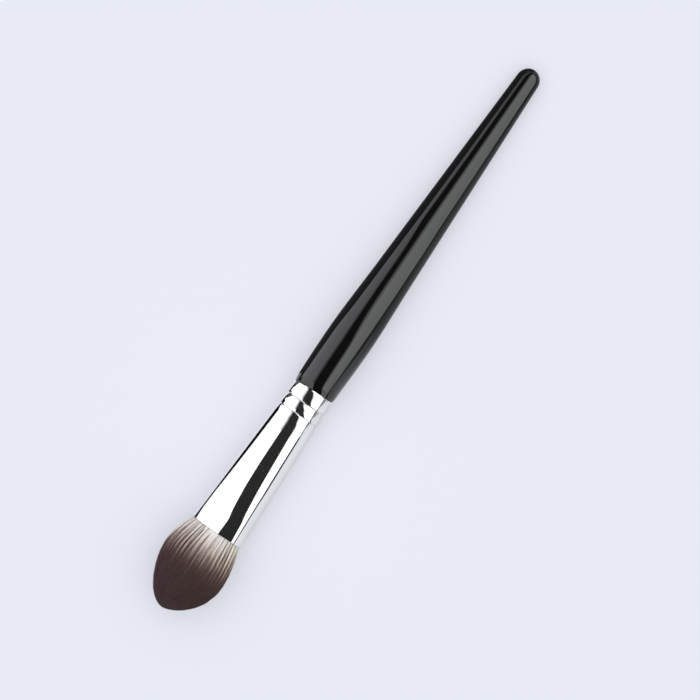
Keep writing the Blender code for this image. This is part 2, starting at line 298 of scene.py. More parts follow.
def ramp(tree, value, stops):
    """A colour ramp with (position, colour) stops."""
    made = tree.nodes.new("ShaderNodeValToRGB")
    elements = made.color_ramp.elements
    while len(elements) < len(stops):
        elements.new(0.5)
    for element, (position, colour) in zip(elements, stops, strict=True):
        element.position = position
        element.color = (*colour, 1.0)
    tree.links.new(value, made.inputs["Fac"])
    return made.outputs["Color"]


def times(tree, first, second):
    """The product of two values."""
    product = tree.nodes.new("ShaderNodeMath")
    product.operation = "MULTIPLY"
    tree.links.new(first, product.inputs[0])
    tree.links.new(second, product.inputs[1])
    return product.outputs["Value"]


def relief(tree, shader, height, depth):
    """Gives the shader a bump of that depth in metres."""
    bump = tree.nodes.new("ShaderNodeBump")
    bump.inputs["Distance"].default_value = depth
    tree.links.new(height, bump.inputs["Height"])
    tree.links.new(bump.outputs["Normal"], shader.inputs["Normal"])


print("material kit ready")

# %% [markdown]
# ## Two hard finishes
# The handle is sprayed with many coats of black lacquer and polished. That is a dark base with
# a sharp, clear reflection, broken only by a faint waviness that lacquerers call orange peel.
# The ferrule is drawn metal with bright plating. It shows hardly any colour of its own, so its
# look is all reflection, and the fine polishing marks that run round it only soften the edges
# of what it mirrors.

# %% Lacquer and plating


LACQUER_IOR = 1.6


def make_lacquer():
    """Polished black lacquer with a trace of orange peel."""
    look, tree, shader = finish("black_lacquer", 0.04)
    place = brush_space(tree)
    tone = noise(tree, place, 260.0)
    base = ramp(tree, tone, ((0.3, (0.0024, 0.0024, 0.0027)), (0.7, (0.0034, 0.0033, 0.0035))))
    tree.links.new(base, shader.inputs["Base Color"])
    haze = noise(tree, place, 900.0, 4.0)
    tree.links.new(spread(tree, haze, 0.03, 0.06), shader.inputs["Roughness"])
    relief(tree, shader, noise(tree, place, 420.0), 0.0000012)
    shader.inputs["IOR"].default_value = LACQUER_IOR
    return look


def make_plating():
    """Bright plating with fine polishing marks that run round the ferrule."""
    look, tree, shader = finish("bright_plating", 0.04, metallic=1.0)
    tone = noise(tree, brush_space(tree), 150.0)
    base = ramp(tree, tone, ((0.3, (0.85, 0.855, 0.87)), (0.7, (0.89, 0.893, 0.90))))
    tree.links.new(base, shader.inputs["Base Color"])
    marks = noise(tree, brush_space(tree, (0.12, 0.12, 9.0)), 900.0, 5.0)
    tree.links.new(spread(tree, marks, 0.02, 0.055), shader.inputs["Roughness"])
    relief(tree, shader, marks, 0.00000008)
    return look


black_lacquer = make_lacquer()
bright_plating = make_plating()
print("finishes:", black_lacquer.name, bright_plating.name)

# %% [markdown]
# ## Turning on a lathe
# A handle could be cut from a cylinder or built from rings. The closest thing in Blender to
# the real process is a spin: one edge line, drawn as the outline, is swept a full turn. The
# points where the line meets the axis are merged into poles, and only then are the normals
# made to point outwards.

# %% The lathe
STEPS_ROUND = 128
MERGE = 0.000001
SHARP = math.radians(40)


def turn(name, outline, look, closed=False):
    """Spins an outline of (radius, height) points into a piece, and lays it down."""
    mesh = bmesh.new()
    corners = [mesh.verts.new((radius, 0.0, height)) for radius, height in outline]
    edges = [mesh.edges.new(pair) for pair in zip(corners, corners[1:])]
    if closed:
        edges.append(mesh.edges.new((corners[-1], corners[0])))
    bmesh.ops.spin(
        mesh,
        geom=corners + edges,
        cent=(0, 0, 0),
        axis=(0, 0, 1),
        angle=2 * math.pi,
        steps=STEPS_ROUND,
        use_merge=True,
    )
    bmesh.ops.remove_doubles(mesh, verts=mesh.verts, dist=MERGE)
    bmesh.ops.recalc_face_normals(mesh, faces=mesh.faces)
    bmesh.ops.transform(mesh, matrix=LAY, verts=mesh.verts)
    data = bpy.data.meshes.new(name)
    mesh.to_mesh(data)
    mesh.free()
    data.shade_smooth()
    data.set_sharp_from_angle(angle=SHARP)
    data.materials.append(look)
    piece = bpy.data.objects.new(name, data)
    bpy.context.scene.collection.objects.link(piece)
    return piece


def mount(piece, slot, *nodes):
    """Lets a piece ride on the brush in the place of CAD nodes; slot is not used."""
    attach(piece, "root")
    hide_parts(*nodes)
    print(f"{piece.name}: {len(piece.data.polygons)} faces, in place of {', '.join(nodes)}")


print(f"the lathe turns in {STEPS_ROUND} steps")

# %% [markdown]
# ## The handle
# The handle is one length of turned wood. Its top is cut down to a tenon, a plain plug that goes
# into the ferrule, and the shoulder below it meets the ferrule's edge across a hairline seam.
# The shoulder's corner is a little rounded, since lacquer draws back from a sharp one. The
# outline runs from the tenon down to the round end, with more points where it bends.

# %% The lacquered handle
SEAM_GAP = 0.00003
TENON_LENGTH = 0.0160
TENON_RADIUS = 0.0053
CORNER_POINTS = 7
SHOULDER_POINTS = 13
BODY_POINTS = 72
END_POINTS = 20


def handle_outline():
    """The tenon, the rounded shoulder at the seam, and the long body, from the top down."""
    outline = [(0.0, TENON_LENGTH), (TENON_RADIUS, TENON_LENGTH), (TENON_RADIUS, -SEAM_GAP)]
    first = SEAM_GAP + SHOULDER_ROUND
    for bend in np.linspace(0, math.pi / 2, CORNER_POINTS):
        radius = handle_radius(first) - SHOULDER_ROUND * (1 - math.sin(bend))
        outline.append((radius, -SEAM_GAP - SHOULDER_ROUND * (1 - math.cos(bend))))
    end_depth = HANDLE_LENGTH - END_ROUND
    depths = list(np.linspace(first, first + SHOULDER_LENGTH, SHOULDER_POINTS)[1:])
    depths += list(np.linspace(first + SHOULDER_LENGTH, end_depth, BODY_POINTS)[1:])
    for bend in np.linspace(0, math.pi / 2, END_POINTS)[1:]:
        depths.append(end_depth + END_ROUND * math.sin(bend))
    outline += [(handle_radius(depth), -depth) for depth in depths]
    return outline


handle = turn("handle_lacquered", handle_outline(), black_lacquer)
mount(handle, "black_lacquer", "handle")

# %% [markdown]
# ## The ferrule
# A real ferrule is pressed from thin sheet into a seamless cone, and two wheels roll the crimps
# into it that grip the handle. Here the whole wall is one closed outline: up the outside,
# round the rolled rim at the mouth, and down the bore. At a crimp one section ends and the next
# starts a hair's breadth higher, so the step between them is a thin, steep wall. The points
# stand close together from the seam to the foot of the cone, where the wall bends, since a
# mirror finish shows every kink. The straight cone needs few.

# %% The plated ferrule
WALL = 0.00028
CRIMP_STEP = 0.00006
CONE_POINTS = 26
RIM_POINTS = 9
FOOT_POINTS = 7


def ferrule_outline():
    """The wall of the ferrule as one closed loop of (radius, height) points."""
    heights = []
    start = WALL / 2
    for crimp in (*CRIMPS, CONE_FOOT[0]):
        count = round((crimp - start) / CRIMP_STEP)
        heights += list(np.linspace(start, crimp - MERGE * 2, count))
        start = crimp + CRIMP_WALL
    heights += list(np.linspace(start, FERRULE_LENGTH - WALL / 2, CONE_POINTS))
    outline = [(ferrule_radius(height), height) for height in heights]
    for bend in np.linspace(0, math.pi, RIM_POINTS)[1:]:
        inward = WALL / 2 * (1 - math.cos(bend))
        outline.append((MOUTH_RADIUS - inward, FERRULE_LENGTH - WALL / 2 * (1 - math.sin(bend))))
    outline += [(ferrule_radius(height) - WALL, height) for height in heights[-2::-1]]
    for bend in np.linspace(0, math.pi, FOOT_POINTS)[1:-1]:
        inward = WALL / 2 * (1 + math.cos(bend))
        outline.append((outline[0][0] - inward, WALL / 2 * (1 - math.sin(bend))))
    return outline


ferrule = turn("ferrule_plated", ferrule_outline(), bright_plating, closed=True)
mount(ferrule, "bright_plating", "ferrule")

# %% [markdown]
# ## The hair
# A soft brush holds thousands of fine fibres. They could be Blender's hair, but that stays out
# of an exported mesh, so each fibre is a thin spline that is swept with a three-cornered
# section. They are laid out as they are in the real bundle: packed into the round mouth, in
# small locks that draw together towards their tips, swelling to the belly and closing into a
# flame. A fibre ends where it meets the flame's outline, so the outer ones are short and only
# the core reaches the point.

# %% Shape of the flame
HAIR_BULGE = 0.0023
HAIR_BELLY = 0.0105
TIP_FULLNESS = 0.6
FLANK_DRAW_IN = 0.70
ROOT_LEAN = -0.0003
TIP_LEAN = -0.0008
HAIR_CLEARANCE = 0.0001
HAIR_ROOT_RADIUS = MOUTH_RADIUS - WALL - HAIR_CLEARANCE
REACH_STEPS = 400
CONE_SLOPE = (MOUTH_RADIUS - CONE_FOOT[1]) / (FERRULE_LENGTH - CONE_FOOT[0])


def flame(reach):
    """Radius of the tuft at each reach past the mouth."""
    widest = HAIR_ROOT_RADIUS + HAIR_BULGE
    swell = np.sin(np.pi / 2 * np.clip(reach / HAIR_BELLY, 0, 1))
    share = np.clip((reach - HAIR_BELLY) / (HAIR_LENGTH - HAIR_BELLY), 0, 1)
    closing = widest * (1 - share**2) ** TIP_FULLNESS
    return np.where(reach < HAIR_BELLY, HAIR_ROOT_RADIUS + HAIR_BULGE * swell, closing)


def bundle(reach):
    """Radius that the whole bundle spreads to: wider than the flame past the belly."""
    widest = HAIR_ROOT_RADIUS + HAIR_BULGE
    inside = HAIR_ROOT_RADIUS + reach * CONE_SLOPE
    past = widest * (flame(reach) / widest) ** FLANK_DRAW_IN
    return np.where(reach < 0, inside, np.where(reach < HAIR_BELLY, flame(reach), past))


def end_reach(share):
    """Reach at which fibres at a share of the bundle's radius meet the flame."""
    reaches = np.linspace(HAIR_BELLY, HAIR_LENGTH, REACH_STEPS)
    shares = flame(reaches) / np.maximum(bundle(reaches), MERGE)
    return np.interp(-share, -shares, reaches)


print(f"hair at its widest {2 * (HAIR_ROOT_RADIUS + HAIR_BULGE) * 1000:.1f} mm across")

# %% [markdown]
# ## Locks and fibres
# The random draws are seeded, so the hair is the same each time. Each lock stands on a
# sunflower spiral, which fills a disc evenly, and its fibres are scattered round it. The dye
# line, where the pale root turns dark, slants and bows across the tuft as seen from above. That
# slant and bow are painted shade: the pale root reaches less far on the left and on both flanks,
# so that those sides look shaded. In a few broad wisps the pale root reaches further or less
# far. It also differs from lock to lock and from fibre to fibre, which draws the fine streaks,
# and a lock is a little lighter or darker than the next. So the dye line, painted shade and all,
# and the shade of each fibre are stored with the mesh, as attributes that the material reads.

# %% Lay out the fibres
LOCKS = 5400
FIBRES_A_LOCK = 5
FIBRE_POINTS = 8
FIBRE_RADIUS = 0.000055
LOCK_RADIUS = 0.017
LOCK_DRAW_IN = 0.55
LOCK_DRIFT = 0.010
GOLDEN_ANGLE = math.pi * (3 - math.sqrt(5))
DYE_LINE = 0.0070
# Painted shade: the slant darkens the left side of the tuft, and the arch darkens both flanks.
PAINTED_SIDE_SHADE = 0.0029
PAINTED_FLANK_SHADE = 0.0057
# Wisps: place across the bundle, half width, and how much further the pale root reaches.
WISPS = (
    (-0.90, 0.14, -0.0010),
    (-0.43, 0.14, 0.0009),
    (-0.20, 0.08, -0.0003),
    (0.46, 0.14, -0.0011),
    (0.68, 0.10, -0.0011),
    (0.90, 0.10, -0.0006),
)
END_SCATTER = 0.0005
LOCK_STREAK = 0.0005
LONGEST_STREAK = 0.0030
# The lower this is, the more streaks are far longer than the rest.
STREAK_EVENNESS = 3
FIBRE_STREAK = 0.0008
LOCK_SHADE = 0.10
SHADE_LIMITS = (0.6, 1.25)
SEED = 7

draw = np.random.default_rng(SEED)


def on_disc(count, radius):
    """Points scattered evenly on a disc."""
    out = radius * np.sqrt(draw.random(count))
    way = draw.random(count) * 2 * np.pi
    return np.stack((out * np.cos(way), out * np.sin(way)), axis=1)


def lay_out():
    """Root and tip of every fibre as shares of the bundle, its reach, dye line with painted shade,
    and shade.
    """
    number = np.arange(LOCKS) + 0.5
    out = np.sqrt(number / LOCKS) * (1 - LOCK_RADIUS / 2)
    way = number * GOLDEN_ANGLE
    centres = np.stack((out * np.cos(way), out * np.sin(way)), axis=1)
    lock = np.repeat(np.arange(LOCKS), FIBRES_A_LOCK)
    scatter = on_disc(len(lock), LOCK_RADIUS)
    root = centres[lock] + scatter
    root /= np.maximum(np.linalg.norm(root, axis=1, keepdims=True), 1.0)
    drift = draw.normal(0, LOCK_DRIFT, (LOCKS, 2))
    tip = centres[lock] + scatter * (1 - LOCK_DRAW_IN) + drift[lock]
    tip /= np.maximum(np.linalg.norm(tip, axis=1, keepdims=True), 1.0)
    end = end_reach(np.linalg.norm(tip, axis=1))
    end -= np.abs(draw.normal(0, END_SCATTER, len(lock)))
    streak = LOCK_STREAK * draw.standard_t(STREAK_EVENNESS, LOCKS)
    streak = np.clip(streak, -LONGEST_STREAK, LONGEST_STREAK)
    # Painted shade: the left side and the flanks get a lower dye line, so that they look shaded.
    dye_and_shade = DYE_LINE + PAINTED_SIDE_SHADE * root[:, 1] - PAINTED_FLANK_SHADE * root[:, 1] ** 2 + streak[lock]
    for place, width, further in WISPS:
        dye_and_shade += further * np.exp(-(((root[:, 1] - place) / width) ** 2))
    dye_and_shade += draw.normal(0, FIBRE_STREAK, len(lock))
    shade = np.clip(draw.normal(1, LOCK_SHADE, LOCKS), *SHADE_LIMITS)
    return root, tip, end, dye_and_shade, shade[lock]


roots, tips, ends, dye_and_shade_lines, shades = lay_out()
print(f"{len(roots)} fibres in {LOCKS} locks")
print(f"they reach {ends.min() * 1000:.1f} to {ends.max() * 1000:.1f} mm past the mouth")

# %% [markdown]
# ## Paths of the fibres
# A fibre starts in the resin, follows the wall of the cone, swells with the bundle and then draws
# in towards the tip of its lock. A few stray outwards, and all of them wave a little. The
# points of all fibres are worked out at once, as one array, still upright about Z. Each fibre
# also gets a random roll about its own line.

# %% Run the paths
WAVE = 0.00007
WAVE_TURNS = (5.0, 4.0)
STRAY = 0.006
POINT_SPREAD = 0.9
LATE_DRAW_IN = 1.4


def fibre_paths(root, tip, end):
    """The points of each fibre, from the resin to its tip, upright about Z."""
    steps = np.linspace(0, 1, FIBRE_POINTS - 1) ** POINT_SPREAD
    reach = np.concatenate((np.full((len(end), 1), HAIR_ROOT), end[:, None] * steps), axis=1)
    along = np.clip(reach / end[:, None], 0, 1)
    drawn = along[..., None] ** LATE_DRAW_IN
    flat = (root[:, None] * (1 - drawn) + tip[:, None] * drawn) * bundle(reach)[..., None]
    flat *= 1 + draw.exponential(STRAY, len(end))[:, None, None] * along[..., None] ** 2
    phase = draw.random((len(end), 1)) * 2 * np.pi
    flat[..., 0] += WAVE * along * np.sin(phase + WAVE_TURNS[0] * along)
    flat[..., 1] += WAVE * along * np.cos(phase + WAVE_TURNS[1] * along)
    share = np.clip(reach / HAIR_LENGTH, 0, 1)
    flat[..., 1] += ROOT_LEAN * np.sin(2 * np.pi * share) + TIP_LEAN * share**5
    return np.concatenate((flat, (FERRULE_LENGTH + reach)[..., None]), axis=2)


fibres = fibre_paths(roots, tips, ends)
fibre_rolls = draw.random(len(fibres)) * 2 * np.pi
print(f"{fibres.shape[0]} paths of {fibres.shape[1]} points")

# %% [markdown]
# ## The dyed fibre
# The tips of such fibres are dipped in dye, so each one turns from a pale root through mauve to
# a dark brown tip. A colour ramp does that, read at the distance past the fibre's own dye line.
# A painted warm reflection tints the right half of the tuft a little, each lock has its shade,
# and a limit keeps the palest roots from growing brighter than a real fibre can be.

# %% Two-tone fibre
DYE_START = -0.0035
DYE_END = 0.0059
PALEST = 0.97
WHITE = (1.0, 1.0, 1.0)
PAINTED_WARM_REFLECTION = (0.97, 0.985, 0.89)


def fibre_mark(tree, name):
    """A value that the mesh keeps for each fibre."""
    mark = tree.nodes.new("ShaderNodeAttribute")
    mark.attribute_name = name
    return mark.outputs["Fac"]


def make_fibre():
    """Two-tone fibre, dyed from its dye line on, with a painted warm reflection on its right side,
    and each lock's shade.
    """
    look, tree, shader = finish("two_tone_fibre", 0.45)
    shader.inputs["Specular IOR Level"].default_value = 0.35
    upright = tree.nodes.new("ShaderNodeSeparateXYZ")
    tree.links.new(brush_space(tree), upright.inputs["Vector"])
    past = tree.nodes.new("ShaderNodeMath")
    past.operation = "SUBTRACT"
    tree.links.new(upright.outputs["Z"], past.inputs[0])
    tree.links.new(fibre_mark(tree, "dye_line_and_painted_shade"), past.inputs[1])
    start, end = FERRULE_LENGTH + DYE_START, FERRULE_LENGTH + DYE_END
    tone = ramp(
        tree,
        spread(tree, past.outputs["Value"], 0, 1, start, end),
        (
            (0.0, (0.97, 0.945, 0.935)),
            (0.35, (0.66, 0.54, 0.49)),
            (0.65, (0.24, 0.162, 0.145)),
            (1.0, (0.096, 0.052, 0.054)),
        ),
    )
    # Painted reflection: the right half of the tuft is tinted warmer, more so towards its edge.
    reflection_side = spread(tree, upright.outputs["Y"], 0, 1, 0.0, HAIR_ROOT_RADIUS)
    tint = ramp(tree, reflection_side, ((0.0, WHITE), (1.0, PAINTED_WARM_REFLECTION)))
    tinted = tree.nodes.new("ShaderNodeVectorMath")
    tinted.operation = "MULTIPLY"
    tree.links.new(tone, tinted.inputs[0])
    tree.links.new(tint, tinted.inputs[1])
    shaded = tree.nodes.new("ShaderNodeVectorMath")
    shaded.operation = "SCALE"
    tree.links.new(tinted.outputs["Vector"], shaded.inputs["Vector"])
    tree.links.new(fibre_mark(tree, "fibre_shade"), shaded.inputs["Scale"])
    limited = tree.nodes.new("ShaderNodeVectorMath")
    limited.operation = "MINIMUM"
    limited.inputs[1].default_value = (PALEST, PALEST, PALEST)
    tree.links.new(shaded.outputs["Vector"], limited.inputs[0])
    tree.links.new(limited.outputs["Vector"], shader.inputs["Base Color"])
    return look


two_tone_fibre = make_fibre()
print("finish:", two_tone_fibre.name)

# %% [markdown]
# ## Sweeping the fibres
# A spline for each fibre, all in one curve object, is far quicker than thousands of objects,
# and its bevel makes the faces. The point radius thins each fibre towards its tip, and its roll
# turns its three sides, so that no side of the tuft shines more than another. The hair is
# split into six pieces so that none grows too big to handle.

# %% Sweep them
BUNDLES = 6
SIDES = 3
# Shares of the way along a fibre, and of its full girth there.
THINNING = ((0, 0.6, 1), (1, 1, 0.25))


def section():
    """A three-cornered loop, the cross-section that each fibre is swept with."""
    curve = bpy.data.curves.new("fibre_section", "CURVE")
    spline = curve.splines.new("POLY")
    spline.points.add(SIDES - 1)
    for i, point in enumerate(spline.points):
        way = 2 * math.pi * i / SIDES
        point.co = (FIBRE_RADIUS * math.cos(way), FIBRE_RADIUS * math.sin(way), 0.0, 1.0)
    spline.use_cyclic_u = True
    made = bpy.data.objects.new("fibre_section", curve)
    bpy.context.scene.collection.objects.link(made)
    return made


def sweep(name, paths, rolls, marks, look):
    """Sweeps one bundle of fibres into a mesh that keeps each fibre's dye line, with painted
    shade, and shade.
    """
    curve = bpy.data.curves.new(name, "CURVE")
    curve.dimensions = "3D"
    curve.bevel_mode = "OBJECT"
    curve.bevel_object = fibre_section
    curve.use_fill_caps = True
    girth = np.interp(np.linspace(0, 1, FIBRE_POINTS), *THINNING)
    for path, roll in zip(paths, rolls, strict=True):
        spline = curve.splines.new("POLY")
        spline.points.add(FIBRE_POINTS - 1)
        spline.points.foreach_set("co", np.hstack((path, np.ones((FIBRE_POINTS, 1)))).ravel())
        spline.points.foreach_set("radius", girth)
        spline.points.foreach_set("tilt", np.full(FIBRE_POINTS, roll))
    swept = bpy.data.objects.new(name, curve)
    bpy.context.scene.collection.objects.link(swept)
    depsgraph = bpy.context.evaluated_depsgraph_get()
    data = bpy.data.meshes.new_from_object(swept.evaluated_get(depsgraph))
    bpy.data.objects.remove(swept, do_unlink=True)
    data.transform(LAY)
    data.name = name
    corners = len(data.vertices) // len(paths)
    for mark, values in marks.items():
        kept = data.attributes.new(mark, "FLOAT", "POINT")
        kept.data.foreach_set("value", np.repeat(values, corners).astype(np.float32))
    data.shade_smooth()
    data.materials.append(look)
    piece = bpy.data.objects.new(name, data)
    bpy.context.scene.collection.objects.link(piece)
    return piece


fibre_section = section()
for i in range(BUNDLES):
    marks = {"dye_line_and_painted_shade": dye_and_shade_lines[i::BUNDLES], "fibre_shade": shades[i::BUNDLES]}
    rolls = fibre_rolls[i::BUNDLES]
    hair = sweep(f"tuft_bundle_{i + 1}", fibres[i::BUNDLES], rolls, marks, two_tone_fibre)
    mount(hair, "two_tone_fibre", "tuft")
bpy.data.objects.remove(fibre_section, do_unlink=True)

# %% [markdown]
# ## The table
# The brush lies on a plain pale table. One wide sheet is enough, since the camera looks down on
# it. Paint alone would need so much light for this brightness that the brush would wash out.
# So the table glows a little too, and its paint shows the soft shadow that seats the brush.

# %% Table and daylight
TABLE_SIZE = 3.0
TABLE_COLOUR = (0.79, 0.81, 0.885)
TABLE_GLOW = 0.5
TABLE_PAINT = 0.43


def make_table():
    """A plain pale table top at height zero."""
    mesh = bmesh.new()
    bmesh.ops.create_grid(mesh, x_segments=1, y_segments=1, size=TABLE_SIZE)
    data = bpy.data.meshes.new("table")
    mesh.to_mesh(data)
    mesh.free()
    look, _, shader = finish("table_top", 0.9)
    paint = [TABLE_PAINT * part for part in TABLE_COLOUR]
    shader.inputs["Base Color"].default_value = (*paint, 1.0)
    shader.inputs["Specular IOR Level"].default_value = 0.0
    shader.inputs["Emission Color"].default_value = (*TABLE_COLOUR, 1.0)
    shader.inputs["Emission Strength"].default_value = TABLE_GLOW
    data.materials.append(look)
    table = bpy.data.objects.new("table", data)
    bpy.context.scene.collection.objects.link(table)


make_table()

# %% [markdown]
# ## Light
# A dome gives most of the light. It is brightest overhead, like the ceiling panel of a photo
# studio, so the flanks of the hair turn darker and the table beside the brush stays pale. One
# big soft lamp, nearly overhead, models the hair and adds to the faint shadow. The camera and
# the mirrors see the dome in the plain colour of the table.

# %% Dome and lamp
LIGHT_EDGE = 0.25
OVERHEAD_LIGHT = 2.0
KEY_POWER = 1.3
KEY_SIZE = 0.8
KEY_PLACE = Vector((-0.10, -0.05, 1.00))


def make_dome():
    """The surroundings: pale where they are seen or mirrored, and an even light elsewhere."""
    world = bpy.data.worlds.new("dome")
    bpy.context.scene.world = world
    world.use_nodes = True
    tree = world.node_tree
    shader = tree.nodes["Background"]
    light_path = tree.nodes.new("ShaderNodeLightPath")
    seen = light_path.outputs["Is Camera Ray"]
    for ray in ("Is Glossy Ray", "Is Transmission Ray"):
        either = tree.nodes.new("ShaderNodeMath")
        either.operation = "MAXIMUM"
        tree.links.new(seen, either.inputs[0])
        tree.links.new(light_path.outputs[ray], either.inputs[1])
        seen = either.outputs["Value"]
    tree.links.new(ramp(tree, seen, ((0.0, WHITE), (1.0, TABLE_COLOUR))), shader.inputs["Color"])
    height = tree.nodes.new("ShaderNodeSeparateXYZ")
    way = tree.nodes.new("ShaderNodeTexCoord").outputs["Generated"]
    tree.links.new(way, height.inputs["Vector"])
    level = tree.nodes.new("ShaderNodeMix")
    light = spread(tree, height.outputs["Z"], 0.0, OVERHEAD_LIGHT, LIGHT_EDGE, 1.0)
    tree.links.new(seen, level.inputs["Factor"])
    tree.links.new(light, level.inputs["A"])
    level.inputs["B"].default_value = 1.0
    tree.links.new(level.outputs["Result"], shader.inputs["Strength"])


def make_key_lamp():
    """A big soft lamp that mirrors don't show."""
    lamp = bpy.data.lights.new("key_lamp", "AREA")
    lamp.energy = KEY_POWER
    lamp.size = KEY_SIZE
    key = bpy.data.objects.new("key_lamp", lamp)
    key.location = KEY_PLACE
    key.rotation_euler = (-KEY_PLACE).to_track_quat("-Z", "Y").to_euler()
    key.visible_glossy = False
    bpy.context.scene.collection.objects.link(key)


make_dome()
make_key_lamp()
print("dome and lamp lit")

# %% [markdown]
# ## A light tent for the mirrors
# Plating and lacquer look like what stands round them. A product photographer builds that with
# white panels and black strips round the brush, and so does this script. Each panel is a
# piece of a barrel about the brush's own axis: it runs from station to station along the
# brush, between two bearings that are measured from overhead. Between the left and the right
# panel lies the dark strip down the middle of the brush, and past the right panel a line that
# is black beside the metal and dim beside the lacquer. Lacquer mirrors only a twentieth of the
# light, so its panels glow brighter than those of the metal, and soft edges and a fading end
# keep their reflections from looking cut out. Past the hair the barrel goes on, dimmer, for
# whoever looks at the brush from its tip, and past the handle a dark panel closes it. Only
# mirrored rays see all this, so it puts no light on the hair or the table.

# %% Bearings of the panels
# Stations: metres from the seam towards the hair, then the bearings in degrees of the left
# panel's outer and inner edge, the right panel's inner and outer edge, and the dark line's end.
HANDLE_STATIONS = (
    (-0.450, -60, -47, 0, 60, 80),
    (-0.250, -67, -43, -14, 80, 100),
    (-0.118, -67, -42, -14, 80, 100),
    (-0.088, -69, -43, -14, 76, 93),
    (-0.066, -74, -47, -14, 73, 91),
    (-0.057, -78, -32, -11, 76, 92),
    (-0.046, -82, -29, -9, 75, 93),
    (-0.033, -84, -25, -3, 70, 93),
    (-0.015, -96, -21, 13, 67, 85),
    (-0.001, -100, -20, 17, 67, 74),
    (0.0045, -100, -18, 21, 67, 73),
    (0.0065, -100, -17, 25, 67, 74),
    (0.009, -100, -16, 27, 68, 75),
)
FERRULE_STATIONS = (
    (0.009, -100, -20, 28, 68, 76),
    (0.020, -100, -16, 38, 72, 80),
    (0.028, -100, -10, 45, 76, 84),
    (0.034, -100, -2, 53, 78, 84),
    (0.037, -100, 3, 57, 79, 85),
    (0.0395, -100, 10, 64, 80, 86),
    (0.045, -100, 8, 70, 83, 88),
    (0.060, -100, 8, 72, 84, 89),
)
BEYOND_STATIONS = (
    (0.060, -100, 8, 72, 84, 100),
    (0.085, -100, -6, 22, 84, 100),
    (0.200, -100, -6, 22, 84, 100),
    (1.500, -100, -6, 22, 84, 100),
)
print(f"{len(HANDLE_STATIONS)} stations along the handle, {len(FERRULE_STATIONS)} on the ferrule")

# %% [markdown]
# ## Glowing cards
# A card is a grid that a function bends into place. Its UV map runs along and across it, so its
# glow can run from one strength to another, start softly at the inner edge, or fade towards the
# end. Camera, diffuse and shadow rays pass it by: only a mirror finds it.

# %% Make a glowing card
CARD_ALONG = 160


def mirrored_only(thing):
    """Hides a piece of the stage from all but mirrored rays."""
    thing.visible_camera = False
    thing.visible_diffuse = False
    thing.visible_shadow = False


def glow(name, colour, inner, outer, soft=0.0, dimmest=1.0, fade=0.7):
    """A glow from an inner to an outer strength, with a soft inner edge or a fading end."""
    look = bpy.data.materials.new(name)
    look.use_nodes = True
    tree = look.node_tree
    tree.nodes.clear()
    edge = tree.nodes.new("ShaderNodeUVMap")
    split = tree.nodes.new("ShaderNodeSeparateXYZ")
    tree.links.new(edge.outputs["UV"], split.inputs["Vector"])
    strength = spread(tree, split.outputs["Y"], inner, outer, 0.0, 1.0)
    if soft:
        strength = times(tree, strength, spread(tree, split.outputs["Y"], 0.0, 1.0, 0.0, soft))
    if dimmest < 1.0:
        fading = spread(tree, split.outputs["X"], dimmest, 1.0, fade, 1.0)
        strength = times(tree, strength, fading)
    shader = tree.nodes.new("ShaderNodeEmission")
    shader.inputs["Color"].default_value = (*colour, 1.0)
    tree.links.new(strength, shader.inputs["Strength"])
    output = tree.nodes.new("ShaderNodeOutputMaterial")
    tree.links.new(shader.outputs["Emission"], output.inputs["Surface"])
    look.cycles.emission_sampling = "NONE"
    return look


def card(name, rows, shape, look):
    """A card of the stage: a grid whose corners are moved to where shape says."""
    mesh = bmesh.new()
    mesh.loops.layers.uv.new("across")
    bmesh.ops.create_grid(mesh, x_segments=CARD_ALONG, y_segments=rows, size=0.5, calc_uvs=True)
    for corner in mesh.verts:
        corner.co = shape(corner.co.x + 0.5, corner.co.y + 0.5)
    data = bpy.data.meshes.new(name)
    mesh.to_mesh(data)
    mesh.free()
    data.materials.append(look)
    made = bpy.data.objects.new(name, data)
    bpy.context.scene.collection.objects.link(made)
    mirrored_only(made)


print(f"cards are bent in {CARD_ALONG} steps")

# %% [markdown]
# ## Setting up the tent
# A panel is a card that is bent to the barrel, and one call sets up the four that stand round a
# part of the brush. Their glows are named for what mirrors them.

# %% Panels of the tent
TENT_RADIUS = 0.10
PANEL_ROUND = 12
LOWEST_BEARING = -100


def panel(name, places, inner, outer, look):
    """A panel of the barrel between two lines of bearings."""

    def shape(along, across):
        place = places[0] + along * (places[-1] - places[0])
        start = np.interp(place, places, inner)
        bearing = math.radians(start + across * (np.interp(place, places, outer) - start))
        upwards = TENT_RADIUS * math.cos(bearing)
        return LAY @ Vector((-upwards, TENT_RADIUS * math.sin(bearing), place))

    card(name, PANEL_ROUND, shape, look)


def tent(part, stations, left_look, right_look, line_look):
    """The panels round one part of the brush: left, right, the strip between, the dark line."""
    places, left_outer, left_inner, right_inner, right_outer, line_end = np.array(stations).T
    panel(f"left_of_{part}", places, left_inner, left_outer, left_look)
    panel(f"right_of_{part}", places, right_inner, right_outer, right_look)
    panel(f"over_{part}", places, left_inner, right_inner, metal_strip)
    panel(f"line_by_{part}", places, right_outer, line_end, line_look)
    print(f"tent round the {part}: {places[0] * 1000:.0f} to {places[-1] * 1000:.0f} mm")


